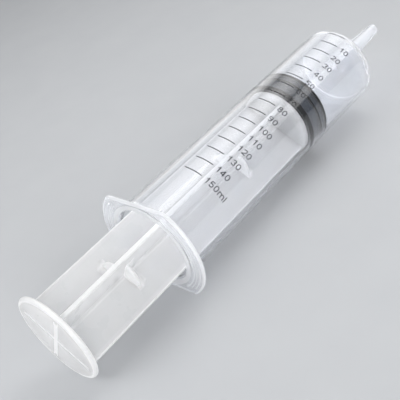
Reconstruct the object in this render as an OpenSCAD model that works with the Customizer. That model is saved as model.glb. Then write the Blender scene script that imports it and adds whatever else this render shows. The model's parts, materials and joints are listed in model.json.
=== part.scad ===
// Large dosing syringe with a long tapered nozzle, in three pieces that come apart by hand:
// a clear moulded barrel, a milky four-ribbed plunger rod and a black rubber stopper.
// The syringe lies on the flat side of its finger flange, nozzle towards +Y, +Z up.
// Millimetres.

/* [Barrel] */
// Inside diameter of the barrel
bore_d = 39.5; // [33:0.5:48]
// Thickness of the barrel's wall
barrel_wall = 2; // [1.6:0.1:3]
// Length of the chamber, from the end wall's inner face to the mouth
chamber_l = 154; // [125:1:190]
// Thickness of the end wall that carries the nozzle
end_wall = 2.8; // [2.2:0.1:4]
// Rounding of the barrel's front edge
front_round = 1.4; // [0.5:0.1:2]
// Rounding inside, where the wall meets the end wall
inner_round = 0.5; // [0.3:0.1:0.8]
// Rounding of the mouth's inner edge
mouth_round = 0.5; // [0.3:0.1:0.8]

/* [Nozzle] */
// Length of the nozzle outside the end wall
nozzle_l = 42.4; // [30:0.2:55]
// Diameter of the nozzle at its root
nozzle_base_d = 11.2; // [9:0.2:14]
// Diameter of the nozzle at its tip
nozzle_tip_d = 6.9; // [6.4:0.1:8.5]
// Diameter of the passage through the nozzle
nozzle_bore_d = 4; // [2.5:0.1:4.4]
// Rounding of the nozzle's tip
nozzle_tip_round = 1; // [0.4:0.1:1]
// Fillet where the nozzle grows out of the end wall
nozzle_root_fillet = 1.5; // [0.5:0.1:2.5]

/* [Finger flange] */
// How far the two finger wings reach out from the barrel
wing_reach = 8.1; // [6:0.1:12]
// How far the two flat sides stand out from the barrel
flat_margin = 2.2; // [1.9:0.1:3]
// Thickness of the flange, whose edges are fully round
flange_t = 1.8; // [1.4:0.1:2.2]
// Rounding of the corners between a flat side and a wing
flange_corner = 5; // [3:0.5:7]
// Fillet between the barrel and the front face of the flange
flange_fillet = 1.2; // [0.4:0.1:1.2]

/* [Retaining bead] */
// Height of the bead inside the mouth that keeps the stopper in
bead_h = 0.6; // [0.3:0.1:0.7]
// Radius of the bead's rounded top
bead_round = 2.2; // [1.5:0.1:3]
// Distance of the bead from the mouth
bead_inset = 3.5; // [3:0.1:6]

/* [Plunger rod] */
// Length of the rod from the thumb disc's outer face to the face behind the stopper
rod_l = 155.5; // [130:0.5:190]
// Gap between the ribs' outer edges and the barrel's bore
rib_clear = 1.7; // [1.2:0.1:3]
// Thickness of each rib
rib_t = 2; // [1.4:0.1:3]
// Fillet where two ribs meet
rib_fillet = 1; // [0.4:0.1:2]
// Angle from the vertical to a rib, towards +X, as the plunger is turned at rest
rib_turn = 34.5; // [0:0.5:90]
// Diameter of the thumb disc
thumb_d = 43.4; // [38:0.2:54]
// Thickness of the thumb disc, whose edge is fully round
thumb_t = 2.3; // [1.8:0.1:3.2]
// Gap between the disc behind the stopper and the bore
push_disc_clear = 0.95; // [0.9:0.05:1.6]
// Thickness of the disc behind the stopper
push_disc_t = 2.4; // [1.8:0.1:3.5]
// Diameter of the two round webs between the ribs
web_d = 17.8; // [14:0.2:22]
// Thickness of a round web
web_t = 1.8; // [1.2:0.1:2.5]
// Distance of the first web from the thumb disc's outer face
web_at = 39.5; // [30:0.5:45]
// Distance of the second web from the first
web_pitch = 79; // [60:1:80]
// How much nearer to the thumb disc the left half of each web stands
web_stagger = 3.4; // [2.6:0.1:5]

/* [Stopper] */
// Length of the rubber stopper
stopper_l = 15.8; // [13:0.1:20]
// Width of the front sealing ring
front_ring_w = 2; // [1.4:0.1:2.4]
// Width of the middle sealing ring
middle_ring_w = 1; // [0.6:0.1:1.6]
// Distance of the middle ring from the front face
middle_ring_at = 5.3; // [4:0.1:6.2]
// Width of the rear sealing ring
rear_ring_w = 3.2; // [2.4:0.1:4]
// Depth of the grooves between the rings
groove_depth = 1.3; // [0.6:0.1:1.8]
// How much rounder the stopper's front edge is than the chamber's inner corner
front_edge_extra = 0.3; // [0.1:0.1:0.6]

/* [Stopper socket] */
// Diameter of the rod's neck inside the stopper
neck_d = 10; // [8:0.2:13]
// Length of the neck
neck_l = 3.4; // [2.6:0.1:4.2]
// Diameter of the rod's head that snaps into the stopper
head_d = 15; // [14:0.2:19]
// Straight length of the head, behind its lead-in cone
head_l = 2.4; // [1.8:0.1:3]
// Length of the head's lead-in cone
head_cone_l = 1.8; // [1:0.1:2.2]

/* [Fits] */
// Running clearance between the sealing rings and the bore
seal_clear = 0.05; // [0.02:0.01:0.1]
// Clearance all round the neck and head in the stopper's socket
socket_clear = 0.1; // [0.06:0.02:0.2]
// Gap between the stopper's rear face and the disc behind it
face_gap = 0.3; // [0.2:0.1:0.6]
// Volume drawn up at rest, in millilitres
drawn_ml = 50; // [20:5:100]

/* [Hidden] */
$fn = 96;
// shapes that join overlap by this much, and cuts run past the surface by that much
overlap = 0.02;
overrun = 1;
bore_r = bore_d / 2;
barrel_r = bore_r + barrel_wall;
flange_r = barrel_r + wing_reach;
flat_h = barrel_r + flat_margin;
nozzle_tip_z = end_wall + nozzle_l;
nozzle_tip_r = nozzle_tip_d / 2;
rib_r = bore_r - rib_clear;
// one millilitre is a thousand cubic millimetres
drawn_l = drawn_ml * 1000 / (PI * bore_r * bore_r);
stopper_round = inner_round + front_edge_extra;
stopper_rear_z = -drawn_l - stopper_l;
push_face_z = stopper_rear_z - face_gap;
thumb_rear_z = push_face_z - rod_l;
// the axis lies at the height of whatever reaches lowest
axis_h = max(flat_h, thumb_d / 2);
// the middle of the whole length lies over the origin
axis_y = -(nozzle_tip_z + thumb_rear_z) / 2;

// Puts a shape drawn along +Z, from the end wall's inner face, onto the syringe's axis
module on_axis() {
    translate([0, axis_y, axis_h]) rotate([-90, 0, 0]) children();
}

// What a rounding of radius r leaves of a square corner at the origin, open towards +x and +y
module corner_web(r) {
    difference() {
        square(r);
        translate([r, r]) circle(r);
    }
}

// Half section of a disc of radius r and thickness t with a fully round edge
module round_edge_section(r, t) {
    square([r - t / 2, t]);
    translate([r - t / 2, t / 2]) circle(t / 2);
}

// Half section of the nozzle outside the end wall, with its root fillet
module nozzle_section() {
    shoulder_z = nozzle_tip_z - nozzle_tip_round;
    polygon([
        [0, end_wall - overlap], [nozzle_base_d / 2, end_wall - overlap],
        [nozzle_tip_r, shoulder_z], [0, shoulder_z]
    ]);
    square([nozzle_tip_r - nozzle_tip_round, nozzle_tip_z]);
    translate([nozzle_tip_r - nozzle_tip_round, shoulder_z]) circle(nozzle_tip_round);
    translate([nozzle_base_d / 2 - overlap, end_wall - overlap]) corner_web(nozzle_root_fillet);
}

// Half section of the chamber's hollow, rounded at the end wall and widened at the mouth
module chamber_section() {
    difference() {
        translate([0, -chamber_l - overrun]) square([bore_r, chamber_l + overrun]);
        translate([bore_r, 0]) rotate(180) corner_web(inner_round);
    }
    translate([bore_r, -chamber_l]) corner_web(mouth_round);
}

// Half section of the bead that stands out of the bore near the mouth
module bead_section() {
    intersection() {
        translate([bore_r - bead_h + bead_round, -chamber_l + bead_inset]) circle(bead_round);
        translate([bore_r - bead_h, -chamber_l]) square([bead_h + barrel_wall / 2, 2 * bead_inset]);
    }
}

// Outline of the flange: a round plate with two flat sides and rounded corners
module flange_outline() {
    corner_y = flat_h - flange_corner;
    corner_x = sqrt(pow(flange_r - flange_corner, 2) - pow(corner_y, 2));
    // the wing's arc runs between the rays through its two corner centres
    far_x = flange_r + overrun;
    far_y = far_x * corner_y / corner_x;
    square([2 * corner_x, 2 * flat_h], center = true);
    for (side = [-1, 1]) {
        for (end = [-1, 1]) translate([side * corner_x, end * corner_y]) circle(flange_corner);
        intersection() {
            circle(flange_r);
            polygon([[0, 0], [side * far_x, far_y], [side * far_x, -far_y]]);
        }
    }
}

// The flange plate: its outline, met by a round-edged disc and a round-edged bar
module flange() {
    translate([0, 0, -chamber_l]) intersection() {
        linear_extrude(flange_t) flange_outline();
        rotate_extrude() round_edge_section(flange_r, flange_t);
        rotate([90, 0, 90]) linear_extrude(2 * flange_r, center = true) {
            translate([-flat_h + flange_t / 2, 0]) square([2 * flat_h - flange_t, flange_t]);
            for (side = [-1, 1])
                translate([side * (flat_h - flange_t / 2), flange_t / 2]) circle(flange_t / 2);
        }
    }
}

// Clear barrel: tube, end wall, tapered nozzle, finger flange and retaining bead in one moulding
module barrel() {
    color("whitesmoke", 0.5) on_axis() difference() {
        union() {
            rotate_extrude() {
                difference() {
                    translate([0, -chamber_l]) square([barrel_r, chamber_l + end_wall]);
                    translate([barrel_r, end_wall]) rotate(180) corner_web(front_round);
                }
                nozzle_section();
                translate([barrel_r - overlap, -chamber_l + flange_t - overlap]) corner_web(flange_fillet);
            }
            flange();
        }
        rotate_extrude() difference() {
            union() {
                chamber_section();
                translate([0, -overlap]) square([nozzle_bore_d / 2, nozzle_tip_z + overrun]);
            }
            bead_section();
        }
    }
}

// Cross section of the rod: four ribs with filleted roots
module rib_cross() {
    for (turn = [0, 90]) rotate(turn) square([2 * rib_r, rib_t], center = true);
    for (turn = [0, 90, 180, 270]) rotate(turn) translate([rib_t / 2, rib_t / 2]) corner_web(rib_fillet);
}

// Half section of the neck and the head that the stopper snaps over, grown by a clearance
module socket_section(clear) {
    neck_top = push_face_z + neck_l;
    head_top = neck_top + head_l;
    translate([0, push_face_z - overlap]) square([neck_d / 2 + clear, neck_l + overlap]);
    translate([0, neck_top - clear]) square([head_d / 2 + clear, head_l + 2 * clear]);
    polygon([
        [0, head_top], [head_d / 2 + clear, head_top + clear],
        [neck_d / 2 + clear, head_top + head_cone_l + clear], [0, head_top + head_cone_l + clear]
    ]);
}

// Half of a round web, on the +x side of the ribs before they are turned
module half_web() {
    intersection() {
        rotate_extrude() round_edge_section(web_d / 2, web_t);
        translate([0, -web_d, -overrun]) cube([web_d, 2 * web_d, web_t + 2 * overrun]);
    }
}

// Milky plunger rod: thumb disc, four ribs, two round webs, disc behind the stopper and snap-in head
module plunger_rod() {
    color("gainsboro") on_axis() {
        translate([0, 0, thumb_rear_z]) rotate_extrude() round_edge_section(thumb_d / 2, thumb_t);
        translate([0, 0, thumb_rear_z + thumb_t / 2])
            rotate(rib_turn) linear_extrude(rod_l - thumb_t) rib_cross();
        for (place = [web_at, web_at + web_pitch], half = [0, 1])
            translate([0, 0, thumb_rear_z + place - half * web_stagger])
                rotate(rib_turn + 180 * half) half_web();
        translate([0, 0, push_face_z - push_disc_t])
            cylinder(r = bore_r - push_disc_clear, h = push_disc_t);
        rotate_extrude() socket_section(0);
    }
}

// Half section of the stopper's outside: three sealing rings and two grooves
module stopper_section() {
    seal_r = bore_r - seal_clear;
    front_z = -drawn_l;
    difference() {
        translate([0, stopper_rear_z]) square([seal_r, stopper_l]);
        translate([seal_r, front_z]) rotate(180) corner_web(stopper_round);
        translate([seal_r - groove_depth, front_z - middle_ring_at])
            square([groove_depth + overrun, middle_ring_at - front_ring_w]);
        translate([seal_r - groove_depth, stopper_rear_z + rear_ring_w])
            square([groove_depth + overrun, stopper_l - middle_ring_at - middle_ring_w - rear_ring_w]);
    }
}

// Black rubber stopper with the socket that the rod's head snaps into
module stopper() {
    color("#1c1c1e") on_axis() rotate_extrude() difference() {
        stopper_section();
        socket_section(socket_clear);
    }
}

barrel();
plunger_rod();
stopper();
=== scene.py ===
# %% [markdown]
# # A clear dosing syringe, drawn to 50 ml
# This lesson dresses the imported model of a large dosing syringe. The real one has three mouldings: a
# clear barrel with a long nozzle, a milky rod with four ribs, and a black rubber stopper snapped onto the
# rod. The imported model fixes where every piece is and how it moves. Here each piece gets a smooth skin of
# the same size, a finish made of shader nodes, and the printed scale that only ink on the real barrel
# carries.

# %% The frame
import json
import math

import bmesh
import bpy
import numpy as np
from mathutils import Matrix, Vector


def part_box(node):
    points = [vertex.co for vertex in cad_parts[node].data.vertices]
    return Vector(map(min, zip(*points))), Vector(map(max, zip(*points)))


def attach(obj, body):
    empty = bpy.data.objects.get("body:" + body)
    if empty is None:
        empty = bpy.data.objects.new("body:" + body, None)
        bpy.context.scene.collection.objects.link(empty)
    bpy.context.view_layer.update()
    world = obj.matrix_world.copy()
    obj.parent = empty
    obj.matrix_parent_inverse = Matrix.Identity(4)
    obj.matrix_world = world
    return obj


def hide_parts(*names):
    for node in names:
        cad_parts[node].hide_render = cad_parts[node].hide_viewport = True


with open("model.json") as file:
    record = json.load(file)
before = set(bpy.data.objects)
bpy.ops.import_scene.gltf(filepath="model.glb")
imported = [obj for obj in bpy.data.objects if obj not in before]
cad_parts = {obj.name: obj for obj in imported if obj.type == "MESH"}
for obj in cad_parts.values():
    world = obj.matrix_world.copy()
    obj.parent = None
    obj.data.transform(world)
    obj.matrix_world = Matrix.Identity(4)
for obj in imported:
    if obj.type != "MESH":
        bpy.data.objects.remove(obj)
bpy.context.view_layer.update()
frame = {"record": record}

# %% [markdown]
# ## Sizes that the frame already knows
# A skin that is drawn from remembered numbers drifts away from the model it covers. So the sizes come
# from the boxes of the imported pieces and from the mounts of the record, and only what neither of them
# says is written down below as a real size in millimetres. Places along the axis are counted from the
# inner face of the end wall, where the scale reads zero: minus is towards the thumb, plus is towards the
# nozzle's tip.

# %% Sizes from the frame, in millimetres
MM = 0.001
mounts = {mount["name"]: mount for mount in frame["record"]["mounts"]}
barrel_low, barrel_high = (np.array(corner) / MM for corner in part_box("barrel"))
rod_low, rod_high = (np.array(corner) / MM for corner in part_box("plunger_rod"))
stopper_low, stopper_high = (np.array(corner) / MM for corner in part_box("stopper"))

axis_height = mounts["barrel_outside"]["pos_m"][2] / MM
barrel_r = mounts["barrel_outside"]["dims"]["r_mm"]
passage_r = mounts["nozzle_bore"]["dims"]["r_mm"]
zero_y = barrel_high[1] - mounts["nozzle_bore"]["dims"]["length_mm"]
flange_r = barrel_high[0]
flat_height = (barrel_high[2] - barrel_low[2]) / 2
mouth_at = barrel_low[1] - zero_y
tip_at = barrel_high[1] - zero_y
thumb_at = rod_low[1] - zero_y
head_top_at = rod_high[1] - zero_y
stopper_rear_at = stopper_low[1] - zero_y
stopper_front_at = stopper_high[1] - zero_y
print(f"barrel radius {barrel_r} mm, mouth at {mouth_at:.1f}, tip at {tip_at:.1f}, thumb at {thumb_at:.1f}")

# %% [markdown]
# ## Arcs and circles
# Moulded plastic has hardly a sharp edge, because sharp edges crack and stick in the mould. So the
# profiles here are straight lines and arcs. A Bevel modifier could round the edges afterwards, but
# points worked out on an arc put each rounding exactly where the real one is, and clear plastic shows
# every rounding as a line of light. The second helper is for outlines that aren't round about the axis,
# and the third puts places on the syringe into Blender's metres.

# %% Arcs and circles
ARC_POINTS = 9


def arc(centre, radius, start, end, count=ARC_POINTS):
    """Points (along, out) on a circle round centre, from one angle to another in degrees.
    Angle 0 points outwards from the axis and 90 points towards the nozzle."""
    turn = np.radians(np.linspace(start, end, count))
    return np.column_stack([centre[0] + radius * np.sin(turn), centre[1] + radius * np.cos(turn)])


def reach_of_circle(turn, centre, radius, side):
    """How far a ray from the axis goes to meet a circle off the axis, at its far (1) or near (-1) side.
    With c the circle's centre and u the ray's direction: c.u plus or minus sqrt(r^2 - c^2 + (c.u)^2)."""
    along_ray = centre[0] * np.cos(turn) + centre[1] * np.sin(turn)
    under_root = radius**2 - centre[0]**2 - centre[1]**2 + along_ray**2
    return along_ray + side * np.sqrt(np.maximum(under_root, 0))


def on_axis(along, across, up):
    """Points in metres, from places along the axis and distances sideways and up from it in millimetres."""
    return np.stack(np.broadcast_arrays(across, along + zero_y, up + axis_height), axis=-1) * MM


print(f"an arc has {ARC_POINTS} points")

# %% [markdown]
# ## From a grid of points to a mesh
# Every piece of a syringe is a profile carried round the axis, so every piece can be one grid: rows
# follow the profile, columns go round. Spin or Screw could do that from a drawn outline, but a grid of
# numbers can also leave the circle, which the flange and the ribs need. Points that fall together, as
# at a pole on the axis, are merged afterwards. Edges sharper than a limit are marked, so that flat
# faces stay flat under smooth shading.

# %% Grids and meshes
SHARP_ANGLE = math.radians(28)
MERGE_DISTANCE = 0.0002 * MM


def grid_piece(name, grid, ring=False):
    """One closed mesh from a grid of points, (profile, turn, xyz).
    Each point joins the next along the profile and the next round the axis, where the last column meets
    the first. With ring set, the end of the profile meets its start as well."""
    rows, columns = grid.shape[:2]
    index = np.arange(rows * columns).reshape(rows, columns)
    if ring:
        index = np.vstack([index, index[:1]])
    index = np.hstack([index, index[:, :1]])
    corners = [index[:-1, :-1], index[:-1, 1:], index[1:, 1:], index[1:, :-1]]
    quads = np.stack(corners, axis=-1).reshape(-1, 4)
    mesh = bpy.data.meshes.new(name)
    mesh.from_pydata(grid.reshape(-1, 3).tolist(), [], quads.tolist())
    return finished_piece(name, mesh)


def finished_piece(name, mesh):
    """Merges points that coincide, turns the faces outwards, shades them smooth and links the object."""
    work = bmesh.new()
    work.from_mesh(mesh)
    bmesh.ops.remove_doubles(work, verts=work.verts, dist=MERGE_DISTANCE)
    bmesh.ops.dissolve_degenerate(work, edges=work.edges, dist=MERGE_DISTANCE)
    bmesh.ops.recalc_face_normals(work, faces=work.faces)
    work.to_mesh(mesh)
    work.free()
    mesh.shade_smooth()
    mesh.set_sharp_from_angle(angle=SHARP_ANGLE)
    piece = bpy.data.objects.new(name, mesh)
    bpy.context.scene.collection.objects.link(piece)
    print(f"{name}: {len(mesh.vertices)} points, {len(mesh.polygons)} faces")
    return piece


print(f"edges over {math.degrees(SHARP_ANGLE):.0f} degrees stay sharp")

# %% [markdown]
# ## The barrel's section
# The barrel comes out of one mould: tube, end wall, nozzle and finger flange, with a low bead inside
# the mouth that keeps the stopper from being pulled out by accident. Cylinders and cones could be
# joined by Booleans, but clear plastic would show every seam that they leave. So the section is one
# closed line: up the inside of the wall, out along the passage, back down the outside and round the
# flange. The passage joins the inside to the outside, so the section closes on itself and the mesh
# needs no pole.

# %% The barrel's section
wall = 2.0
bore_r = barrel_r - wall
end_wall = 2.8
front_round = 1.4
inner_round = 0.5
mouth_round = 0.5
bead_height, bead_round, bead_inset = 0.6, 2.2, 3.5
nozzle_base_r, nozzle_tip_r = 5.6, 3.45
nozzle_tip_round, nozzle_root_fillet, nozzle_taper = 1.4, 1.5, 3
flange_thick, flange_fillet = 1.8, 1.2
SHORT_ROWS, LONG_ROWS = 8, 16


def straight(start, end, count):
    """Evenly spaced points between two points, both ends included."""
    return np.linspace(start, end, count)


def barrel_section():
    """The closed section as rows of (along, out), from the mouth up the inside and back down the outside,
    as far as the fillet in front of the flange."""
    bead_out = bore_r - bead_height + bead_round
    bead_half = math.degrees(math.acos((bead_round - bead_height) / bead_round))
    tip_middle = (tip_at - nozzle_tip_round, nozzle_tip_r - nozzle_tip_round)
    root_middle = (end_wall + nozzle_root_fillet, nozzle_base_r + nozzle_root_fillet)
    tip = arc(tip_middle, nozzle_tip_round, 90, nozzle_taper)
    root = arc(root_middle, nozzle_root_fillet, 180 - nozzle_taper, 270)
    tube_start = mouth_at + flange_thick + flange_fillet
    wall_in, wall_out = nozzle_base_r + 2 * nozzle_root_fillet, barrel_r - 2 * front_round
    return np.vstack([
        arc((mouth_at + mouth_round, bore_r + mouth_round), mouth_round, 270, 180),
        arc((mouth_at + bead_inset, bead_out), bead_round, 180 + bead_half, 180 - bead_half),
        straight((mouth_at + 2 * bead_inset, bore_r), (-2 * inner_round, bore_r), LONG_ROWS),
        arc((-inner_round, bore_r - inner_round), inner_round, 0, 90),
        straight((0, bore_r - 2 * inner_round), (0, passage_r + inner_round), SHORT_ROWS),
        straight((0, passage_r), (tip_at, passage_r), LONG_ROWS),
        tip,
        straight(tip[-1], root[0], LONG_ROWS)[1:-1],
        root,
        straight((end_wall, wall_in), (end_wall, wall_out), SHORT_ROWS),
        arc((end_wall - front_round, barrel_r - front_round), front_round, 90, 0),
        straight((end_wall - 2 * front_round, barrel_r), (tube_start + flange_fillet, barrel_r), LONG_ROWS),
        arc((tube_start, barrel_r + flange_fillet), flange_fillet, 180, 270),
    ])


print(f"bore {2 * bore_r} mm wide, {len(barrel_section())} rows from the mouth round to the flange")

# %% [markdown]
# ## The flange's outline
# Only the flange isn't round: its outline is a circle with two flat sides and rounded corners, and the
# syringe lies on one of the flats. A Boolean could cut the flats from a disc, but it would cut away the
# disc's rounded edge too. As a reach for each angle round the axis, the outline fits the same grid as
# the tube. Its normals are kept as well, because the edge is rounded along them.

# %% The flange's outline
flange_corner = 5.0
BARREL_COLUMNS = 360
SMALLEST_SINE = 0.1
turns = np.linspace(0, 2 * np.pi, BARREL_COLUMNS, endpoint=False)


def flange_outline(turn):
    """Outline and outward normals of the flange as a function of the angle round the axis.
    The reach is the wing's radius, then that of a corner circle, then flat height over sine. One quarter
    is worked out, and the signs of cosine and sine mirror it."""
    quarter = np.arctan2(np.abs(np.sin(turn)), np.abs(np.cos(turn)))
    corner_up = flat_height - flange_corner
    corner_out = math.sqrt((flange_r - flange_corner)**2 - corner_up**2)
    wing_end = math.atan2(corner_up, corner_out)
    flat_start = math.atan2(flat_height, corner_out)
    on_corner = (quarter > wing_end) & (quarter < flat_start)
    on_flat = quarter >= flat_start
    reach = np.where(on_flat, flat_height / np.maximum(np.sin(quarter), SMALLEST_SINE), flange_r)
    reach = np.where(on_corner, reach_of_circle(quarter, (corner_out, corner_up), flange_corner, 1), reach)
    points = np.column_stack([reach * np.cos(quarter), reach * np.sin(quarter)])
    normals = points / reach[:, None]
    normals[on_corner] = (points[on_corner] - [corner_out, corner_up]) / flange_corner
    normals[on_flat] = [0, 1]
    mirror = np.column_stack([np.sign(np.cos(turn)), np.sign(np.sin(turn))])
    return points * mirror, normals * mirror


outline, outline_normals = flange_outline(turns)
wing_reach, flat_reach = outline.max(axis=0)
print(f"flange outline: {wing_reach:.2f} mm to the wings, {flat_reach:.2f} mm to the flats")

# %% [markdown]
# ## The barrel's skin
# The tube's rows are circles. A row on the flange has a share that says how far it has left the tube's
# circle for the flange's outline. The flange's edge is fully round: there the rows lie on the outline,
# drawn in along its normals by half a circle. Three low ridges on the finger side of each wing, which
# show through it as fine arcs, are a height added to the front face. A bump in the shader could draw
# them too, but a real height shows from the side as well.

# %% The barrel's skin
FRONT_ROWS, EDGE_ROWS, REAR_ROWS = 45, 13, 22
ridge_radii = np.array([24.2, 25.7, 27.2])
ridge_width, ridge_height, ridge_end, ridge_fade = 0.8, 0.3, 19.0, 1.0


def fade(distance, length):
    """1 at no distance or less, 0 beyond the length, with a soft start and end: 1 - 3t^2 + 2t^3."""
    share = np.clip(distance / length, 0, 1)
    return 1 - 3 * share**2 + 2 * share**3


def wing_ridges(out, turn):
    """How much of a grip ridge there is at a distance from the axis and an angle round it: over each
    ridge's radius a parabola, 1 - (2d/w)^2 at a distance d, that fades out towards the flat sides."""
    bumps = np.maximum(1 - (2 * (out[..., None] - ridge_radii) / ridge_width)**2, 0).sum(axis=-1)
    return bumps * fade(np.abs(out * np.sin(turn)) - ridge_end, ridge_fade)


def barrel_grid():
    """Tube rows are circles. Flange rows go from the fillet's circle to the outline drawn in by half the
    thickness, round the edge along the outline's normals, and back over the rear face to the mouth."""
    section = barrel_section()
    round_of_turn = np.column_stack([np.cos(turns), np.sin(turns)])
    tube = section[:, 1, None, None] * round_of_turn
    half = flange_thick / 2
    drawn_in = outline - half * outline_normals
    share = np.linspace(0, 1, FRONT_ROWS)[1:-1, None, None]
    front = (1 - share) * section[-1, 1] * round_of_turn + share * drawn_in
    edge_turn = np.linspace(0, np.pi, EDGE_ROWS)[:, None]
    edge = drawn_in + half * np.sin(edge_turn)[..., None] * outline_normals
    share = np.linspace(1, 0, REAR_ROWS)[1:-1, None, None]
    rear = (1 - share) * section[0, 1] * round_of_turn + share * drawn_in
    across = np.concatenate([tube, front, edge, rear])
    ridges = ridge_height * wing_ridges(np.hypot(front[..., 0], front[..., 1]), turns)
    along = np.concatenate([
        np.broadcast_to(section[:, :1], tube.shape[:2]),
        mouth_at + flange_thick + ridges,
        np.broadcast_to(mouth_at + half + half * np.cos(edge_turn), edge.shape[:2]),
        np.full(rear.shape[:2], mouth_at),
    ])
    return on_axis(along, across[..., 0], across[..., 1])


barrel_skin = grid_piece("barrel_moulding", barrel_grid(), ring=True)

# %% [markdown]
# ## Where the barrel turns milky, and where its edges get a painted glow
# Polypropylene that cools slowly grows larger crystals and scatters more light, so the thick ends of the
# barrel are milkier than its tube. Light trapped in the wall also comes out at its edges: the rim of the
# flange, the mouth, the front edge and the nozzle's tip look white. That light is painted here, as more
# milk at those edges. Both depend only on the shape, so they are worked out once for every point and
# kept with the mesh as an attribute that the finish reads.

# %% The barrel's milk and painted edge glow
FLANGE_MILK, RIDGE_MILK, NOZZLE_MILK = 0.35, 0.5, 0.42
RIM_FADE, MOUTH_FADE = 0.8, 0.6
TOUCH = 0.01


def places_of(points):
    """Places along the axis, distances from it and angles round it, in millimetres and radians, of
    points in metres."""
    across, along, up = (points / MM).T - np.array([[0], [zero_y], [axis_height]])
    return along, np.hypot(across, up), np.arctan2(up, across)


def barrel_milk_and_glow(points):
    """The largest of these: the fade from the flange along the tube, the nozzle's milk ahead of the end
    wall, and a painted glow of piped light at the flange's rim, the mouth, the tube's front and the tip."""
    along, out, turn = places_of(points)
    from_flange = along - (mouth_at + flange_thick)
    on_flange = from_flange < ridge_height + TOUCH
    rim, _ = flange_outline(turn)
    # Painted glow: the flange's rim, the mouth and the tube's front edge get more milk, so they look white
    # as if lit by light piped out of the wall.
    flange_rim_glow = on_flange * fade(np.hypot(*rim.T) - out - flange_thick / 2, RIM_FADE)
    mouth_glow = fade(np.hypot(along - mouth_at, np.maximum(out - barrel_r, 0)) - mouth_round, MOUTH_FADE)
    front_edge = fade(np.hypot(along - end_wall, barrel_r - out) - front_round, RIM_FADE)
    ridges = RIDGE_MILK * wing_ridges(out, turn)
    flange = (FLANGE_MILK + ridges) * fade(from_flange - ridge_height, flange_fillet)
    nozzle = NOZZLE_MILK * fade(-along, inner_round)
    # Painted glow at the nozzle's tip, in the same way.
    tip_glow = fade(tip_at - along - nozzle_tip_round / 2, nozzle_tip_round)
    return np.max([flange, flange_rim_glow, mouth_glow, front_edge, nozzle, tip_glow], axis=0)


def keep(piece, name, value_of):
    """Works out a value for every point of a piece and stores it as the attribute of that name."""
    points = np.empty(len(piece.data.vertices) * 3)
    piece.data.vertices.foreach_get("co", points)
    values = value_of(points.reshape(-1, 3))
    piece.data.attributes.new(name, "FLOAT", "POINT").data.foreach_set("value", values)
    print(f"{piece.name}: {name} {values.min():.2f} to {values.max():.2f}, {values.mean():.2f} on average")


keep(barrel_skin, "milk", barrel_milk_and_glow)

# %% [markdown]
# ## The plunger rod
# The rod is a cross of four ribs with a thumb disc at one end, a disc that pushes the stopper at the
# other, and two small round webs that stop the ribs from folding. The photograph shows the left half of a
# web a little nearer to the thumb than its right half, as if each half of the mould had its own place for
# it. All of these are outlines round one axis, so the rod is one grid as well: a row takes the larger of
# the cross's reach and the disc's radius. A web then shows only between the ribs, as it does in one
# moulding.

# %% The rod's sizes
rib_clear, push_clear = 1.7, 0.95
rib_reach = bore_r - rib_clear
rib_thick = 2.0
rib_fillet = 1.0
rib_edge_round = 0.35
rib_lean = 34.5
rib_turn = math.radians(90 - rib_lean)
thumb_r, thumb_thick = 21.7, 2.3
push_r, push_thick, push_edge_round = bore_r - push_clear, 2.4, 0.3
web_r, web_thick = 8.9, 1.8
web_places, web_stagger = (39.5, 118.5), 3.4
LEFT, RIGHT, BOTH = 1, -1, 0
web_halves = [half for place in web_places for half in ((place - web_stagger, LEFT), (place, RIGHT))]
neck_r, head_r, head_edge_round = 5.0, 7.5, 0.2
neck_length, head_length, head_cone = 3.4, 2.4, 1.8
push_front_at = head_top_at - neck_length - head_length - head_cone
push_rear_at = push_front_at - push_thick
print(f"rod {head_top_at - thumb_at:.1f} mm long with {len(web_halves)} half webs")

# %% [markdown]
# ## The outline of the cross
# Seen from its end the rod is a cross: four ribs with flat ends and rounded corners, and a fillet where
# two of them meet. Two boxes joined by a Boolean could make it, with a Bevel for the fillets. As a
# reach for each angle it is one more function, and a disc is added by taking the larger reach. The
# columns stand close together where the outline turns sharply, and one stands exactly where a rib
# leaves a web, so that the web's edge is clean.

# %% The outline of the cross
glow_depth = 2.5
END_COLUMNS, SIDE_COLUMNS, FAR_COLUMNS = 9, 3, 22


def cross_reach(turn):
    """How far the cross of ribs reaches at an angle from a rib's middle.
    One eighth is enough: the rib's flat end, its rounded corner, its side at half the thickness over the
    sine of the angle, and the fillet between two ribs. The rest repeats that by folding the angle."""
    folded = np.abs((turn + np.pi / 4) % (np.pi / 2) - np.pi / 4)
    half = rib_thick / 2
    corner = (rib_reach - rib_edge_round, half - rib_edge_round)
    fillet = (half + rib_fillet, half + rib_fillet)
    end_of_flat = math.atan2(corner[1], rib_reach)
    end_of_corner = math.atan2(half, corner[0])
    end_of_side = math.atan2(half, fillet[0])
    parts = [folded <= end_of_flat, folded <= end_of_corner, folded <= end_of_side]
    reaches = [
        rib_reach / np.cos(folded),
        reach_of_circle(folded, corner, rib_edge_round, 1),
        half / np.maximum(np.sin(folded), half / rib_reach),
    ]
    return np.select(parts, reaches, reach_of_circle(folded, fillet, rib_fillet, -1))


def rod_turns():
    """Angles of the grid's columns: close at the rounded ends of the ribs, a few on a rib's side, one
    exactly where it leaves a web, and an even spread from there to the middle between two ribs."""
    half = rib_thick / 2
    rib_end = math.atan2(half, rib_reach - rib_edge_round)
    on_side = np.linspace(rib_reach - glow_depth, web_r, SIDE_COLUMNS, endpoint=False)
    one_side = np.concatenate([
        np.linspace(0, rib_end, END_COLUMNS),
        np.arcsin(half / np.array([rib_reach - 2 * rib_edge_round, *on_side])),
        np.linspace(math.asin(half / web_r), np.pi / 4, FAR_COLUMNS),
    ])
    quarter = np.concatenate([one_side, np.pi / 2 - one_side[-2:0:-1]])
    return (quarter + np.arange(4)[:, None] * np.pi / 2).ravel()


rod_columns = rod_turns()
reach = cross_reach(rod_columns)
print(f"{len(rod_columns)} columns, ribs reach {reach.max():.2f} mm, {reach.min():.2f} mm at the fillets")

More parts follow.
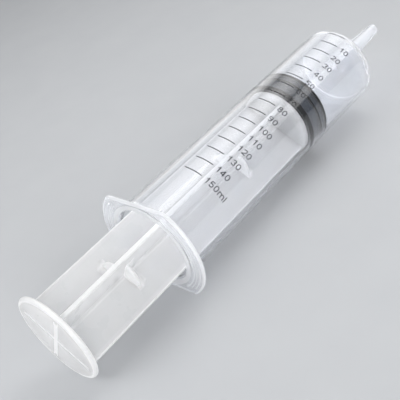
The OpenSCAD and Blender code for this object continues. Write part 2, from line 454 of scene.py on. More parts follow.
# %% [markdown]
# ## The rod's rows
# A row is written as its place along the axis, a disc radius, a share from the ribs' outline out to
# that disc, whether there are ribs at all, and the side that the disc is on. The flat faces are rows at
# one place with growing shares. The thumb disc and the webs have fully round edges, as mouldings of
# this kind do, which gives the bright line that edges them.

# %% The rod's rows
FACE_SHARES = np.array([0, 0.03, 0.35, 0.7, 0.95, 1])
ROW_SPACING = 4.0


def rows_of(along, disc=0, share=0, ribbed=1, side=BOTH):
    """Rows as columns of place along, disc radius, share, ribs and side, each one number or one a row."""
    return np.column_stack(np.broadcast_arrays(along, disc, share, ribbed, side))


def disc_rows(start, radius, thick, edge_round, side=BOTH):
    """Rows of a disc on the ribs, from its rear face over its rounded edge to its front face."""
    flat_r = radius - edge_round
    edge = np.vstack([
        arc((start + edge_round, flat_r), edge_round, -90, 0),
        arc((start + thick - edge_round, flat_r), edge_round, 0, 90),
    ])
    return np.vstack([
        rows_of(start, flat_r, FACE_SHARES, 1, side),
        rows_of(edge[:, 0], edge[:, 1], 1, 1, side),
        rows_of(start + thick, flat_r, FACE_SHARES[::-1], 1, side),
    ])


def rib_rows(start, end):
    """Rows of bare ribs between two places, ends left out, about as far apart as the spacing."""
    inner_rows = 1 + round((end - start) / ROW_SPACING)
    return rows_of(np.linspace(start, end, inner_rows + 2)[1:-1])


print(len(disc_rows(thumb_at, thumb_r, thumb_thick, thumb_thick / 2)), "rows for the thumb disc")

# %% [markdown]
# ## The rod's skin
# The rod is put together from the thumb to the head: the thumb disc, ribs, half a web, ribs and so on,
# then the disc behind the stopper, and the neck and head that the stopper snaps over. Discs pushed
# through a cross would leave faces inside the plastic, and a milky material shows them, so the rows are
# stacked into one skin. The two halves of a web part inside the rib that faces the camera and the one
# opposite, where nothing of it shows.

# %% The rod's skin
def rod_grid():
    """The rod from the middle of the thumb face to the middle of its head.
    A row's reach is ribs + share * max(disc - ribs, 0), but only ribs away from the disc's side."""
    neck_top = push_front_at + neck_length
    head = np.vstack([
        straight((push_front_at, push_r - 2 * push_edge_round), (push_front_at, neck_r), SHORT_ROWS),
        straight((neck_top, neck_r), (neck_top, head_r - 2 * head_edge_round), SHORT_ROWS),
        arc((neck_top + head_edge_round, head_r - head_edge_round), head_edge_round, -90, 0),
        [(neck_top + head_length, head_r)],
        straight((head_top_at, neck_r), (head_top_at, 0), SHORT_ROWS),
    ])
    thumb_cross = rows_of(thumb_at, ribbed=np.linspace(0, 1, SHORT_ROWS))
    rows = [thumb_cross, disc_rows(thumb_at, thumb_r, thumb_thick, thumb_thick / 2)]
    ribs_from = thumb_at + thumb_thick
    for place, side in web_halves:
        web_at = thumb_at + place
        rows += [rib_rows(ribs_from, web_at), disc_rows(web_at, web_r, web_thick, web_thick / 2, side)]
        ribs_from = web_at + web_thick
    push = disc_rows(push_rear_at, push_r, push_thick, push_edge_round)[:-len(FACE_SHARES)]
    rows += [rib_rows(ribs_from, push_rear_at), push, rows_of(head[:, 0], head[:, 1], 1, 0)]
    along, disc, share, ribbed, side = (column[:, None] for column in np.vstack(rows).T)
    ribs = reach * ribbed
    on_side = side * np.sin(rod_columns) >= 0
    out = ribs + share * on_side * np.maximum(disc - ribs, 0)
    turn = rod_columns + rib_turn
    return on_axis(along, out * np.cos(turn), out * np.sin(turn))


rod_skin = grid_piece("plunger_rod_moulding", rod_grid())

# %% [markdown]
# ## Where painted light comes out of the rod
# A sheet of milky plastic works as a light guide: light that enters its faces is trapped between them and
# comes out at its edges, so a rib has a bright line along its end, a disc has a bright rim, and the cross
# of the ribs shows through the thumb disc. That light is painted: the skin turns whiter and less
# see-through at the ends of the ribs, along their feet and over the cross, in the same attribute as the
# webs' milk. It depends only on the shape too, so it is kept with the mesh in the same way.

# %% The rod's milk and painted glow
CROSS_GLOW, WEB_MILK, EDGE_GLOW, FOOT_GLOW = 1.0, 1.0, 0.25, 0.25


def rod_milk_and_glow(points):
    """Painted glow of piped light: 1 at the ends of the ribs and the rim of the thumb disc, falling to
    nought away from them, and a fixed amount at the foot of the ribs and over the cross on the thumb disc.
    The webs get a fixed amount of real milk."""
    along, out, turn = places_of(points)
    beside_rib = np.minimum(np.abs(out * np.cos(turn - rib_turn)), np.abs(out * np.sin(turn - rib_turn)))
    on_thumb = along < thumb_at + thumb_thick + TOUCH
    to_edge = np.where(on_thumb, thumb_r - thumb_thick / 2, rib_reach - rib_edge_round) - out
    # Painted glow: the ends of the ribs, the thumb disc's rim, the ribs' feet and the cross on the thumb
    # disc turn whiter, standing in for light that the ribs pipe out there.
    edge = (along < push_rear_at - TOUCH) * fade(to_edge, rib_edge_round)
    near_edge_glow = EDGE_GLOW * fade(to_edge, glow_depth)
    foot_glow = FOOT_GLOW * fade(out - rib_thick / 2 - rib_fillet, rib_fillet)
    cross_glow = CROSS_GLOW * (on_thumb & (beside_rib < rib_thick / 2 + TOUCH) & (out < rib_reach))
    webs, sides = np.array(web_halves).T[..., None]
    into_web = along - thumb_at - webs
    on_half = (into_web > -TOUCH) & (into_web < web_thick + TOUCH) & (sides * np.sin(turn - rib_turn) >= 0)
    on_web = np.any(on_half, axis=0) & (out < web_r + TOUCH)
    return np.max([edge, near_edge_glow, foot_glow, cross_glow, WEB_MILK * on_web], axis=0)


keep(rod_skin, "milk", rod_milk_and_glow)

# %% [markdown]
# ## The stopper's rings
# The stopper is a plug of black rubber with three rings that press on the wall and two grooves between
# them. Grooves could be drawn as dark bands on a plain cylinder, but they would have no shadow in them.
# As rows of arcs, each ring and each groove gets its own rounding: wide at the front edge, tight at the
# others. The rings are squeezed into the wall by a hair, so that no gap of air is left there.

# %% Rings and grooves
squeeze = 0.02
seal_r = bore_r + squeeze
groove_depth, groove_round = 1.3, 0.4


def ring_rows(rear, front, rear_edge, front_edge):
    """The outside of one sealing ring from front to rear, with both edges rounded."""
    return np.vstack([
        arc((front - front_edge, seal_r - front_edge), front_edge, 90, 0),
        arc((rear + rear_edge, seal_r - rear_edge), rear_edge, 0, -90),
    ])


def groove_rows(rear, front):
    """The floor of a groove from front to rear, with its inner corners rounded."""
    floor = seal_r - groove_depth + groove_round
    return np.vstack([
        arc((front - groove_round, floor), groove_round, 90, 180),
        arc((rear + groove_round, floor), groove_round, 180, 270),
    ])


print(f"rings {2 * seal_r:.2f} mm across, grooves {groove_depth} mm deep")

# %% [markdown]
# ## The stopper's skin
# The plug hides a socket for the rod's head. A plain revolve is enough: one line from the middle of the
# front face, over the rings, round the rear face and up into the socket. Screw could turn that line as
# well, but the grid helper is at hand and merges the points at both poles.

# %% The stopper's skin
front_ring, middle_ring, rear_ring = 2.0, 1.0, 3.2
middle_ring_at = 5.3
front_edge_round, ring_round = 0.8, 0.12
socket_clear = 0.1
STOPPER_COLUMNS = 192


def stopper_grid():
    """One line (along, out) carried round the axis by cosine and sine."""
    front_rear = stopper_front_at - front_ring
    middle_front = stopper_front_at - middle_ring_at
    middle_rear = middle_front - middle_ring
    rear_front = stopper_rear_at + rear_ring
    neck_top = push_front_at + neck_length - socket_clear
    head_top = neck_top + head_length + 2 * socket_clear
    socket_top = head_top_at + socket_clear
    hole_r, room_r = neck_r + socket_clear, head_r + socket_clear
    section = np.vstack([
        straight((stopper_front_at, 0), (stopper_front_at, seal_r - 2 * front_edge_round), SHORT_ROWS),
        ring_rows(front_rear, stopper_front_at, ring_round, front_edge_round),
        groove_rows(middle_front, front_rear),
        ring_rows(middle_rear, middle_front, ring_round, ring_round),
        groove_rows(rear_front, middle_rear),
        ring_rows(stopper_rear_at, rear_front, ring_round, ring_round),
        straight((stopper_rear_at, seal_r - 2 * ring_round), (stopper_rear_at, hole_r), SHORT_ROWS),
        [(neck_top, hole_r), (neck_top, room_r), (head_top, room_r)],
        straight((socket_top, hole_r), (socket_top, 0), SHORT_ROWS),
    ])
    turn = np.linspace(0, 2 * np.pi, STOPPER_COLUMNS, endpoint=False)
    return on_axis(section[:, :1], section[:, 1:] * np.cos(turn), section[:, 1:] * np.sin(turn))


stopper_skin = grid_piece("rubber_stopper", stopper_grid())

# %% [markdown]
# ## Where the stopper's grooves get a painted reflection
# Where rubber and wall touch, no air is left to reflect, so the rings look black through the wall. Over
# the grooves the wall's inner face has air behind it and reflects, and a grey painted into the rubber
# there stands in for that reflection. Two materials on one mesh would meet in a hard line. So how much
# painted reflection a point gets becomes an attribute, as the milk and glow did, and depends on how far
# it lies below the rings.

# %% The stopper's painted groove reflection
def stopper_groove_reflection(points):
    """Share of painted reflection: 0 where the rubber touches the wall or lies at the stopper's ends, 1 on
    the floor of a groove.
    """
    along, out, _ = places_of(points)
    inside = (along > stopper_rear_at + TOUCH) & (along < stopper_front_at - front_edge_round - TOUCH)
    outside = out > seal_r - groove_depth - TOUCH
    # Painted reflection: the grooves get a grey that stands in for the wall's inner face reflecting over
    # the air in them.
    return (inside & outside) * fade(out - seal_r + groove_depth / 2, groove_depth / 4)


keep(stopper_skin, "dullness", stopper_groove_reflection)

# %% [markdown]
# ## The printed scale
# The scale is ink rolled onto the barrel: sixteen ticks ten millilitres apart and a number at each but
# the first. An image would smear at this size and a font would bring its own shapes along. So each
# digit is drawn as pen strokes, lines and parts of ellipses, which these helpers give as rows of
# points.

# %% Pen strokes
LINE_POINTS = 7
DEGREES_PER_POINT = 12


def line(start, end):
    """Points along a straight stroke, close enough together to follow a bend."""
    return straight(start, end, LINE_POINTS)


def bow(centre, reach, start, end):
    """Points on an ellipse from one angle to another in degrees, with 0 to the right and 90 up."""
    turn = np.radians(np.linspace(start, end, LINE_POINTS + abs(end - start) // DEGREES_PER_POINT))
    return np.column_stack([centre[0] + reach[0] * np.cos(turn), centre[1] + reach[1] * np.sin(turn)])


def joined(*paths):
    """Several paths as one stroke, without the points that would come twice."""
    return np.vstack([paths[0]] + [path[1:] for path in paths[1:]])


print(f"a whole turn of the pen has {len(bow((0, 0), (1, 1), 0, 360))} points")

# %% [markdown]
# ## The digits
# The sizes in a digit are shares of its height, counted from its lower left corner. The six turned
# round is the nine, so it is drawn once. The letters after the last number are drawn in the same way.

# %% The digits as strokes
DIGIT_BOX = (0.73, 1)
DIGIT_MIDDLE = 0.5
six = [bow((0.365, 0.3), (0.25, 0.235), 0, 360), bow((0.4, 0.44), (0.285, 0.495), 195, 52)]
STROKES = {
    "0": [bow((0.365, 0.5), (0.255, 0.435), 0, 360)],
    "1": [line((0.44, 0), (0.44, 1)), bow((0.14, 1.03), (0.28, 0.3), 270, 345)],
    "2": [joined(bow((0.36, 0.68), (0.24, 0.255), 170, -35), line((0.557, 0.534), (0.13, 0.1))),
          line((0.07, 0.065), (0.64, 0.065))],
    "3": [joined(bow((0.34, 0.72), (0.225, 0.215), 165, -90), bow((0.34, 0.285), (0.26, 0.22), 90, -165))],
    "4": [line((0.48, 0), (0.48, 0.97)), line((0.46, 0.95), (0.07, 0.31)),
          line((0.04, 0.275), (0.67, 0.275))],
    "5": [line((0.17, 0.935), (0.61, 0.935)), line((0.19, 0.95), (0.125, 0.47)),
          bow((0.35, 0.33), (0.265, 0.265), 145, -155)],
    "6": six,
    "7": [line((0.07, 0.935), (0.65, 0.935)), bow((1.0, -0.05), (0.72, 1.12), 180, 119)],
    "8": [bow((0.36, 0.73), (0.215, 0.205), 0, 360), bow((0.36, 0.29), (0.26, 0.225), 0, 360)],
    "9": [DIGIT_BOX - stroke for stroke in six],
    "m": [line((0.13, 0), (0.13, 0.73)),
          joined(bow((0.36, 0.46), (0.23, 0.205), 180, 0), line((0.59, 0.46), (0.59, 0))),
          joined(bow((0.82, 0.46), (0.23, 0.205), 180, 0), line((1.05, 0.46), (1.05, 0)))],
    "l": [line((0.16, 0), (0.16, 1))],
}
ADVANCE = {"m": 1.18, "l": 0.32}
DIGIT_ADVANCE = 0.775
print(len(STROKES), "characters of", sum(len(strokes) for strokes in STROKES.values()), "strokes")

# %% [markdown]
# ## One film of ink
# Every stroke and every tick is the same thing: a flat pen carried along a path. A curve with a bevel
# could do that too, but it would have to be made a mesh before it is bent. The pen's section is a low
# rectangle, so the film is a closed solid on the wall and not a painted face.

# %% Ink along a path
ink_gap, ink_thick = 0.012, 0.02


def ink_stroke(path, width):
    """A flat film along a path: each point of the path gets the four corners of the pen's section, half
    the width to either side of it, at the film's underside and top. Ends that don't meet are closed."""
    step = np.gradient(path, axis=0)
    aside = np.column_stack([-step[:, 1], step[:, 0]]) / np.hypot(*step.T)[:, None] * width / 2
    top = ink_gap + ink_thick
    corners = [(aside, ink_gap), (-aside, ink_gap), (-aside, top), (aside, top)]
    lines = [np.column_stack([path + side, np.full(len(path), lift)]) for side, lift in corners]
    points = np.stack(lines, axis=1)
    index = np.arange(len(path) * 4).reshape(-1, 4)
    after = np.roll(index, -1, axis=1)
    faces = np.stack([index[:-1], after[:-1], after[1:], index[1:]], axis=-1).reshape(-1, 4)
    meets = np.allclose(path[0], path[-1])
    return points.reshape(-1, 3), faces if meets else np.vstack([faces, index[:1, ::-1], index[-1:]])


print(f"ink {ink_thick} mm thick, {ink_gap} mm off the wall")

# %% [markdown]
# ## Ticks and numbers on the barrel
# Ten millilitres take up the same length everywhere, 10 000 mm3 over the bore's area, so the ticks
# follow from the bore. Ticks and numbers are drawn flat, as on the printing pad, and laid on the barrel
# by one bend for all of them, in which a distance round the barrel becomes an angle. Shrinkwrap could
# do that as well, but it would follow the flat faces of the mesh.

# %% The scale as one piece
TICK_COUNT = 16
ML_PER_TICK, MM3_PER_ML = 10, 1000
TICK_POINTS = 25
tick_pitch = ML_PER_TICK * MM3_PER_ML / (math.pi * bore_r**2)
tick_start, tick_end = math.radians(5.75), math.radians(31.35)
tick_width = 0.5
number_start = math.radians(36.5)
number_height, number_stretch, pen_width = 3.4, 1.05, 0.42


def number_strokes(words, place):
    """The strokes of a number that starts beside its tick and stands centred on it."""
    starts = np.cumsum([0] + [ADVANCE.get(letter, DIGIT_ADVANCE) for letter in words])
    first = np.array([number_start * barrel_r, place])
    size = np.array([number_stretch, 1]) * number_height
    return [ink_stroke(first + (stroke + [start, -DIGIT_MIDDLE]) * size, pen_width)
            for start, letter in zip(starts, words) for stroke in STROKES[letter]]


def scale_print():
    """Ticks and numbers as one mesh. In the bend a point's distance round, over the radius, is its angle
    from the top towards +X, and its lift is added to the radius."""
    tick = straight((tick_start * barrel_r, 0), (tick_end * barrel_r, 0), TICK_POINTS)
    parts = [ink_stroke(tick - [0, count * tick_pitch], tick_width) for count in range(TICK_COUNT)]
    for count in range(1, TICK_COUNT):
        words = f"{count * ML_PER_TICK}" + ("ml" if count == TICK_COUNT - 1 else "")
        parts += number_strokes(words, -count * tick_pitch)
    firsts = np.cumsum([0] + [len(points) for points, faces in parts])
    faces = np.vstack([own + first for first, (points, own) in zip(firsts, parts)])
    flat = np.vstack([points for points, own in parts])
    turn, out = flat[:, 0] / barrel_r, barrel_r + flat[:, 2]
    mesh = bpy.data.meshes.new("printed_scale")
    bent = on_axis(flat[:, 1], out * np.sin(turn), out * np.cos(turn))
    mesh.from_pydata(bent.tolist(), [], faces.tolist())
    return finished_piece("printed_scale", mesh)


scale_skin = scale_print()
print(f"ticks {tick_pitch:.3f} mm apart")

# %% [markdown]
# ## Colours
# Colours are easiest to compare with a photograph as hex values, which are sRGB, while shaders work in
# linear light. Blender's colour picker turns the one into the other by itself. In a script a function
# has to.

# %% From hex values to linear light
def linear(hex_colour):
    """Linear red, green, blue and alpha from an sRGB hex value. A code c becomes c/12.92 when dark, else
    ((c+0.055)/1.055)^2.4."""
    code = np.array([int(hex_colour[place:place + 2], 16) for place in (1, 3, 5)]) / 255
    light = np.where(code <= 0.04045, code / 12.92, ((code + 0.055) / 1.055)**2.4)
    return (*light.tolist(), 1.0)


print(f"half grey, #808080, is {linear('#808080')[0]:.3f} in linear light")

# %% [markdown]
# ## Nodes
# A material is a tree of nodes. It could be put together by hand and kept in a file, but a script can
# be read. One function adds a node with its settings and links, so that each material reads as a short
# list of what it is made of. Patterns are laid out on the piece itself, in metres, so the scale of each
# follows from the width of its grains.

# %% Nodes and patterns
def add(tree, kind, settings=None, sockets=None):
    """Adds one node, sets its properties and fills its input sockets with values or nodes' outputs."""
    made = tree.nodes.new(kind)
    for name, value in (settings or {}).items():
        setattr(made, name, value)
    for name, value in (sockets or {}).items():
        if isinstance(value, bpy.types.NodeSocket):
            tree.links.new(value, made.inputs[name])
        else:
            made.inputs[name].default_value = value
    return made


def new_material(name):
    """An empty node material, its Object coordinates, and its output node."""
    material = bpy.data.materials.new(name)
    material.use_nodes = True
    material.node_tree.nodes.clear()
    tree = material.node_tree
    place = add(tree, "ShaderNodeTexCoord").outputs["Object"]
    return material, tree, place, add(tree, "ShaderNodeOutputMaterial")


def per_metre(size_mm):
    """Texture scale for a pattern whose grains are that many millimetres wide."""
    return 1 / (size_mm * MM)


print(f"grains of 1 mm have a texture scale of {per_metre(1):.0f}")

# %% [markdown]
# ## Clear polypropylene
# The barrel is polypropylene made clear with an additive and moulded in a polished mould. It is never
# as clear as glass: it blurs what is behind it a little, looks faintly blue where one looks along the
# wall, and its shine wavers where the melt flowed. Glass with a low roughness gives the first, a
# faintly blue tint gives the second, and long soft ripples in the bump give the third. The same
# unevenness blurs a reflection far more than a view through the wall, so a rougher coat carries the
# soft streaks of light. Cycles looks for lamps along straight lines, and plastic that bends light would
# block them, so those rays go through it unbent.

# %% The clear finish
CLEAR_TUBE, CLEAR_EDGE = 0.985, 0.2
COAT_ROUGHNESS = 0.22
HAZE_CLOUD = 9.0
FLOW_WIDTH, FLOW_LENGTH = 5.0, 62.5


def lamps_pass(tree, shader, tint):
    """Lets lamps shine through see-through plastic: a ray that asks whether a lamp is in sight goes
    straight through and takes on the tint, and every other ray meets the plastic itself."""
    ray = add(tree, "ShaderNodeLightPath")
    clear = add(tree, "ShaderNodeBsdfTransparent", sockets={"Color": linear(tint)})
    mix = add(tree, "ShaderNodeMixShader", sockets={"Fac": ray.outputs["Is Shadow Ray"]})
    tree.links.new(shader.outputs[0], mix.inputs[1])
    tree.links.new(clear.outputs[0], mix.inputs[2])
    return mix.outputs[0]


def clear_polypropylene():
    """Clear plastic, less clear where it is milky and where its edges carry a painted glow, with an
    uneven haze and ripples along the flow.
    """
    material, tree, place, output = new_material("clear_polypropylene_moulded")
    cloud = add(tree, "ShaderNodeTexNoise", sockets={
        "Vector": place, "Scale": per_metre(HAZE_CLOUD), "Detail": 3.0})
    haze = add(tree, "ShaderNodeMapRange", sockets={
        "Value": cloud.outputs["Fac"], "From Min": 0.2, "From Max": 0.8, "To Min": 0.03, "To Max": 0.06})
    tint = add(tree, "ShaderNodeMix", {"data_type": "RGBA"}, {
        "Factor": cloud.outputs["Fac"], "A": linear("#F4F7FC"), "B": linear("#FCFCFD")})
    milk = add(tree, "ShaderNodeAttribute", {"attribute_name": "milk"})
    # Painted glow: where the attribute is high at the edges, the wall is less clear and so whiter, standing
    # in for light piped out there. At the thick ends it is real milk.
    clear = add(tree, "ShaderNodeMapRange", sockets={
        "Value": milk.outputs["Fac"], "To Min": CLEAR_TUBE, "To Max": CLEAR_EDGE})
    along_flow = add(tree, "ShaderNodeMapping", sockets={
        "Vector": place, "Scale": (1.0, FLOW_WIDTH / FLOW_LENGTH, 1.0)})
    flow = add(tree, "ShaderNodeTexNoise", sockets={
        "Vector": along_flow.outputs[0], "Scale": per_metre(FLOW_WIDTH), "Detail": 1.0})
    ripple = add(tree, "ShaderNodeBump", sockets={
        "Height": flow.outputs["Fac"], "Strength": 0.04, "Distance": 0.15 * MM})
    shader = add(tree, "ShaderNodeBsdfPrincipled", sockets={
        "Base Color": tint.outputs[2], "Roughness": haze.outputs[0], "Normal": ripple.outputs[0],
        "IOR": 1.49, "Transmission Weight": clear.outputs[0],
        "Coat Weight": 1.0, "Coat Roughness": COAT_ROUGHNESS})
    tree.links.new(lamps_pass(tree, shader, "#FBFBFC"), output.inputs["Surface"])
    return material


barrel_skin.data.materials.append(clear_polypropylene())
print("barrel:", barrel_skin.data.materials[0].name)

# %% [markdown]
# ## Milky polypropylene
# The rod is the same plastic without the additive. It lets some light straight through and scatters the
# rest inside, so a rib looks like a sheet of thin milk, and its edges and the webs look white. Alpha
# stands for the share that is scattered, and subsurface scattering spreads that share. Where the attribute
# paints the glow of piped light, at the ends of the ribs, the thumb disc's rim, the feet and the cross,
# alpha rises, so the whiteness there is painted light. A slanting look goes a longer way through the milk
# and meets more of it. Sheen, which whitens a surface that is seen at a slant, stands for that.

# %% The milky finish
COVER_FLAT, COVER_EDGE = 0.45, 0.95
SCATTER_LENGTH = 3.0
SHEEN, SHEEN_ROUGHNESS = 1.0, 0.55
MILK_CLOUD, MOULD_GRAIN = 14.0, 2.5


def milky_polypropylene():
    """White plastic that lets half the light through, with cloudy patches and a moulded grain. The real
    grain is finer than a pixel, so it is drawn coarser."""
    material, tree, place, output = new_material("milky_polypropylene_moulded")
    cloud = add(tree, "ShaderNodeTexNoise", sockets={
        "Vector": place, "Scale": per_metre(MILK_CLOUD), "Detail": 3.0})
    haze = add(tree, "ShaderNodeMapRange", sockets={
        "Value": cloud.outputs["Fac"], "From Min": 0.2, "From Max": 0.8, "To Min": 0.24, "To Max": 0.34})
    tint = add(tree, "ShaderNodeMix", {"data_type": "RGBA"}, {
        "Factor": cloud.outputs["Fac"], "A": linear("#F1F3F7"), "B": linear("#FAF9F8")})
    milk = add(tree, "ShaderNodeAttribute", {"attribute_name": "milk"})
    # Painted glow: the cover rises where the attribute marks piped light at edges, feet and cross, and on
    # the milky webs.
    cover = add(tree, "ShaderNodeMapRange", sockets={
        "Value": milk.outputs["Fac"], "To Min": COVER_FLAT, "To Max": COVER_EDGE})
    grain = add(tree, "ShaderNodeTexNoise", sockets={
        "Vector": place, "Scale": per_metre(MOULD_GRAIN), "Detail": 2.0})
    dimple = add(tree, "ShaderNodeBump", sockets={
        "Height": grain.outputs["Fac"], "Strength": 0.1, "Distance": 0.08 * MM})
    shader = add(tree, "ShaderNodeBsdfPrincipled", sockets={
        "Base Color": tint.outputs[2], "Roughness": haze.outputs[0], "Normal": dimple.outputs[0],
        "IOR": 1.49, "Alpha": cover.outputs[0], "Subsurface Weight": 0.9, "Subsurface Radius": (1, 1, 1),
        "Subsurface Scale": SCATTER_LENGTH * MM,
        "Sheen Weight": SHEEN, "Sheen Roughness": SHEEN_ROUGHNESS})
    tree.links.new(shader.outputs[0], output.inputs["Surface"])
    return material


rod_skin.data.materials.append(milky_polypropylene())
print("rod:", rod_skin.data.materials[0].name)

# %% [markdown]
# ## Moulded rubber
# The stopper's rubber is filled with soot and wiped with silicone oil: nearly black, with a soft shine
# and a fine dull grain. A picture of a grain would need a seam round the plug, and a noise needs none.
# One noise drives tint, roughness and bump together, as one grain does on real rubber, and the
# attribute mixes a grey into the grooves: a painted reflection of the wall's inner face over them.

# %% The rubber
RUBBER_GRAIN = 0.6


def black_rubber():
    """Nearly black, half-glossy rubber with a fine grain, and a painted grey reflection in the grooves.
    The real grain is finer than a pixel, so it is drawn coarser."""
    material, tree, place, output = new_material("black_rubber_moulded")
    grain = add(tree, "ShaderNodeTexNoise", sockets={
        "Vector": place, "Scale": per_metre(RUBBER_GRAIN), "Detail": 2.0})
    dull = add(tree, "ShaderNodeMapRange", sockets={
        "Value": grain.outputs["Fac"], "From Min": 0.3, "From Max": 0.7, "To Min": 0.32, "To Max": 0.5})
    tint = add(tree, "ShaderNodeMix", {"data_type": "RGBA"}, {
        "Factor": grain.outputs["Fac"], "A": linear("#0E0F12"), "B": linear("#1B1D21")})
    dullness = add(tree, "ShaderNodeAttribute", {"attribute_name": "dullness"})
    # Painted reflection: the grooves' grey stands in for the wall's inner face reflecting over them. It is
    # not the rubber's own colour.
    groove_reflection_tint = add(tree, "ShaderNodeMix", {"data_type": "RGBA"}, {
        "Factor": dullness.outputs["Fac"], "A": tint.outputs[2], "B": linear("#343A44")})
    skin = add(tree, "ShaderNodeBump", sockets={
        "Height": grain.outputs["Fac"], "Strength": 0.25, "Distance": 0.05 * MM})
    shader = add(tree, "ShaderNodeBsdfPrincipled", sockets={
        "Base Color": groove_reflection_tint.outputs[2], "Roughness": dull.outputs[0], "Normal": skin.outputs[0],
        "IOR": 1.52, "Specular IOR Level": 0.2})
    tree.links.new(shader.outputs[0], output.inputs["Surface"])
    return material


stopper_skin.data.materials.append(black_rubber())
print("stopper:", stopper_skin.data.materials[0].name)

# %% [markdown]
# ## Printed ink
# The scale is dark ink rolled from a pad: it dries matt and covers a little unevenly. Plain black would
# look harder than print on clear plastic does, so the ink is a dark grey that a noise varies from patch
# to patch.

# %% The ink
INK_PATCH = 1.0


def scale_ink():
    """Matt dark grey ink whose cover varies over about a millimetre."""
    material, tree, place, output = new_material("dark_ink_pad_printed")
    cover = add(tree, "ShaderNodeTexNoise", sockets={
        "Vector": place, "Scale": per_metre(INK_PATCH), "Detail": 2.0})
    tint = add(tree, "ShaderNodeMix", {"data_type": "RGBA"}, {
        "Factor": cover.outputs["Fac"], "A": linear("#2A2B2F"), "B": linear("#414247")})
    shader = add(tree, "ShaderNodeBsdfPrincipled", sockets={
        "Base Color": tint.outputs[2], "Roughness": 0.5, "Specular IOR Level": 0.2})
    tree.links.new(shader.outputs[0], output.inputs["Surface"])
    return material


scale_skin.data.materials.append(scale_ink())
print("scale:", scale_skin.data.materials[0].name)

# %% [markdown]
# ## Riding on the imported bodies
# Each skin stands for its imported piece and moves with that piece's body: the stopper slides in the
# barrel, the rod turns in the stopper. The ink belongs to the barrel and rides with it.

# %% Skins on bodies
skins = {"barrel": barrel_skin, "plunger_rod": rod_skin, "stopper": stopper_skin}
for node, skin in skins.items():
    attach(skin, node)
    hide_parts(node)
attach(scale_skin, "barrel")
print("skins:", [skin.name for skin in skins.values()], "and", scale_skin.name)

# %% [markdown]
# ## The floor
# The syringe lies on a sheet of pale matt paper, which takes its shadow. What is seen through clear
# plastic is mostly what lies behind it, so the paper's colour decides how bright the barrel looks. The
# sheet is far larger than a real one, so that its edge lies at the horizon from every side.

# %% A sheet of pale paper
FLOOR_HALF = 40.0
FLOOR_DROP = 0.05 * MM
FIBRE_CLOUD = 30.0


def pale_paper():
    """Matt pale grey paper with a faint fibre cloud."""
    material, tree, place, output = new_material("pale_paper_floor")
    fibre = add(tree, "ShaderNodeTexNoise", sockets={
        "Vector": place, "Scale": per_metre(FIBRE_CLOUD), "Detail": 4.0})
    tint = add(tree, "ShaderNodeMix", {"data_type": "RGBA"}, {
        "Factor": fibre.outputs["Fac"], "A": linear("#C9CBCE"), "B": linear("#CFD1D3")})
    shader = add(tree, "ShaderNodeBsdfPrincipled", sockets={
        "Base Color": tint.outputs[2], "Roughness": 0.9})
    tree.links.new(shader.outputs[0], output.inputs["Surface"])
    return material


sheet = np.array([(-1, -1, 0), (1, -1, 0), (1, 1, 0), (-1, 1, 0)]) * FLOOR_HALF - [0, 0, FLOOR_DROP]
floor_mesh = bpy.data.meshes.new("floor")
floor_mesh.from_pydata(sheet.tolist(), [], [(0, 1, 2, 3)])
floor_mesh.materials.append(pale_paper())
floor = bpy.data.objects.new("floor", floor_mesh)
bpy.context.scene.collection.objects.link(floor)
print(f"floor: {2 * FLOOR_HALF:.0f} m wide, {FLOOR_DROP / MM:.2f} mm below the syringe")

# %% [markdown]
# ## The surround
# A white room fills the shadows. It is brighter overhead and to the left and darker near the floor and to
# the right, because a tube in an even white room mirrors it everywhere and looks flat. A tilted gradient
# that depends on a direction's height is enough for that.

# %% World
HORIZON, ZENITH = 0.15, 0.52
WORLD_TILT = math.radians(35)

world = bpy.data.worlds.new("pale surround")
world.use_nodes = True
room = world.node_tree
direction = add(room, "ShaderNodeTexCoord")
tilt = add(room, "ShaderNodeMapping", sockets={
    "Vector": direction.outputs["Generated"], "Rotation": (0, WORLD_TILT, 0)})
height = add(room, "ShaderNodeSeparateXYZ", sockets={"Vector": tilt.outputs[0]})
rise = add(room, "ShaderNodeMapRange", {"interpolation_type": "SMOOTHSTEP"}, {
    "Value": height.outputs["Z"], "To Min": HORIZON, "To Max": ZENITH})
room.nodes["Background"].inputs["Color"].default_value = linear("#F5F6F8")
room.links.new(rise.outputs[0], room.nodes["Background"].inputs["Strength"])
bpy.context.scene.world = world
bpy.context.scene.view_settings.view_transform = "Standard"
print(f"surround: strength {HORIZON} at the horizon, {ZENITH} overhead")

# %% [markdown]
# ## The softboxes
# From here the tube mirrors only what stands on the nozzle's side of it. So the two softboxes on the
# thumb's side light the milky rod without a reflection, and the others draw the light on the tube: one
# overhead veils the stopper, one at the left follows the left edge, a low one lights the nozzle's end,
# and two more make the streak beside the scale. Each has a honeycomb grid, which Blender calls
# spread, so that the paper near a lamp doesn't burn out. Their image in the inner face of the wall is
# left out, because it comes out grainy.

# %% Lamps
GRID = math.radians(60)


def softbox(name, place, aim, size, watts):
    """A rectangular lamp at a place, facing a point, with a grid over it. Places and sizes in metres."""
    data = bpy.data.lights.new(name, "AREA")
    data.shape = "RECTANGLE"
    data.size, data.size_y = size
    data.energy = watts
    data.spread = GRID
    lamp = bpy.data.objects.new(name, data)
    lamp.location = place
    lamp.rotation_euler = (Vector(aim) - Vector(place)).to_track_quat("-Z", "Y").to_euler()
    lamp.visible_transmission = False
    bpy.context.scene.collection.objects.link(lamp)


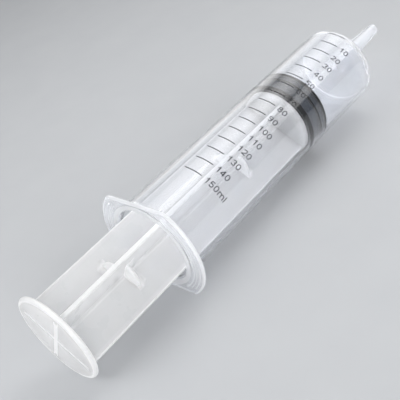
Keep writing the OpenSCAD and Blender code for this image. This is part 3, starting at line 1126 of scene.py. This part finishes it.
middle = (0, 0, axis_height * MM)
softbox("left thumb side softbox", (-0.3, -0.85, 0.75), middle, (0.8, 0.8), 0.85)
softbox("right thumb side softbox", (0.95, -0.5, 0.42), middle, (0.8, 0.6), 1.2)
softbox("overhead softbox", (-0.08, 0.69, 0.9), middle, (1.0, 0.9), 0.7)
softbox("left wall softbox", (-1.0, 0.72, 0.4), middle, (1.0, 0.7), 0.34)
softbox("nozzle side softbox", (-0.1, 1.1, 0.32), middle, (0.4, 0.3), 0.14)
softbox("flange streak softbox", (0.065, 0.28, 0.64), (0.01, -0.055, 0.043), (0.2, 0.1), 0.016)
softbox("nozzle streak softbox", (0.44, 0.68, 0.53), (0.015, 0.05, 0.039), (0.44, 0.24), 0.07)

# %% [markdown]
# ## Looking through many walls
# A ray that crosses the syringe goes in and out of two barrel walls and several ribs, and each surface
# counts as one bounce. Cycles stops after twelve, and what it stops turns black, so the paths are allowed
# to be longer.

# %% Longer light paths
MOST_SURFACES = 28
cycles = bpy.context.scene.cycles
cycles.max_bounces = MOST_SURFACES
cycles.transmission_bounces = MOST_SURFACES
cycles.transparent_max_bounces = MOST_SURFACES
cycles.glossy_bounces = MOST_SURFACES
print("surfaces a ray may cross:", cycles.transmission_bounces)

# %% [markdown]
# ## The camera
# The photograph was taken from over the thumb end, with the camera tilted. Its place, its focal length
# and its tilt were found by fitting the tube's two edges, the ends of the ticks and the rims of the
# discs, and are given here as plain sizes. The image is 400 pixels wide, which turns a focal length in
# pixels into a lens.

# %% Camera
CAMERA_PLACE = (208.8, -195.3, 205.5)
CAMERA_AIM = (0.8, -36.5, axis_height)
CAMERA_ROLL = math.radians(-20.96)
FOCAL_PIXELS = 683.0
IMAGE_PIXELS = 400
SENSOR = 36.0
NEAREST = 10.0

camera_data = bpy.data.cameras.new("camera")
camera_data.sensor_width = SENSOR
camera_data.lens = FOCAL_PIXELS / IMAGE_PIXELS * SENSOR
camera_data.clip_start = NEAREST * MM
camera = bpy.data.objects.new("camera", camera_data)
bpy.context.scene.collection.objects.link(camera)
place, aim = Vector(CAMERA_PLACE) * MM, Vector(CAMERA_AIM) * MM
upright = (aim - place).to_track_quat("-Z", "Y").to_matrix().to_4x4()
camera.matrix_world = Matrix.Translation(place) @ upright @ Matrix.Rotation(CAMERA_ROLL, 4, "Z")
bpy.context.scene.camera = camera
print(f"lens {camera_data.lens:.1f} mm, {(aim - place).length / MM:.0f} mm from the syringe")
